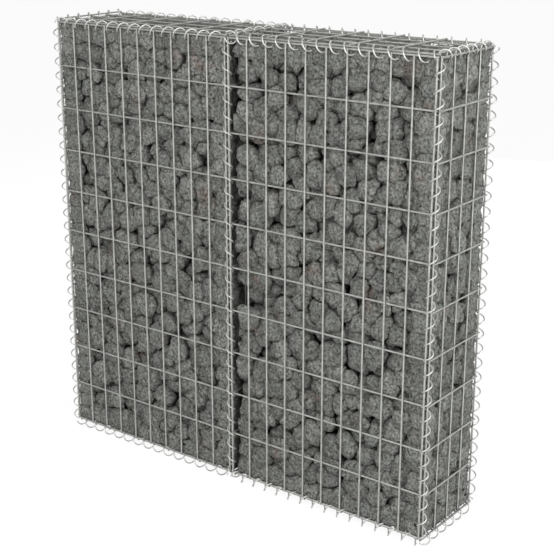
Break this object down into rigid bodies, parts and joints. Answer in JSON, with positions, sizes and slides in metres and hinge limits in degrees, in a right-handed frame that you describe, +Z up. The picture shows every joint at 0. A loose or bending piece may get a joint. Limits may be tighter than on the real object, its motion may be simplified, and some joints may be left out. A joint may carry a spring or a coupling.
{
  "type": "gabion wall",
  "caption": "Free-standing gabion wall: welded wire mesh boxes side by side, laced along their edges with spiral wires and packed with broken grey stone.",
  "frame": {"origin": "middle of the wall's footprint at ground level, under the lowest loops of the bottom spirals", "axes": "+X along the wall to the right as seen from the front, +Y from the front to the back, +Z up"},
  "size_m": [1.0468, 0.237, 1.0379],
  "materials": {
    "mesh_wire": "galvanised, dull",
    "spiral_wire": "galvanised, dull",
    "stone": "rough broken stone"
  },
  "bodies": {
    "root": {"front_panel_left": "mesh_wire", "front_panel_right": "mesh_wire", "back_panel_left": "mesh_wire", "back_panel_right": "mesh_wire", "left_end_panel": "mesh_wire", "right_end_panel": "mesh_wire", "middle_panel": "mesh_wire", "lid_left": "mesh_wire", "lid_right": "mesh_wire", "base_left": "mesh_wire", "base_right": "mesh_wire", "spiral_front_left_corner": "spiral_wire", "spiral_front_right_corner": "spiral_wire", "spiral_back_left_corner": "spiral_wire", "spiral_back_right_corner": "spiral_wire", "spiral_front_seam": "spiral_wire", "spiral_back_seam": "spiral_wire", "spiral_top_front_left": "spiral_wire", "spiral_top_front_right": "spiral_wire", "spiral_top_back_left": "spiral_wire", "spiral_top_back_right": "spiral_wire", "spiral_top_left_end": "spiral_wire", "spiral_top_middle": "spiral_wire", "spiral_top_right_end": "spiral_wire", "spiral_bottom_front_left": "spiral_wire", "spiral_bottom_front_right": "spiral_wire", "spiral_bottom_back_left": "spiral_wire", "spiral_bottom_back_right": "spiral_wire", "spiral_bottom_left_end": "spiral_wire", "spiral_bottom_middle": "spiral_wire", "spiral_bottom_right_end": "spiral_wire", "stone_fill_left": "stone", "stone_fill_right": "stone"}
  },
  "joints": []
}
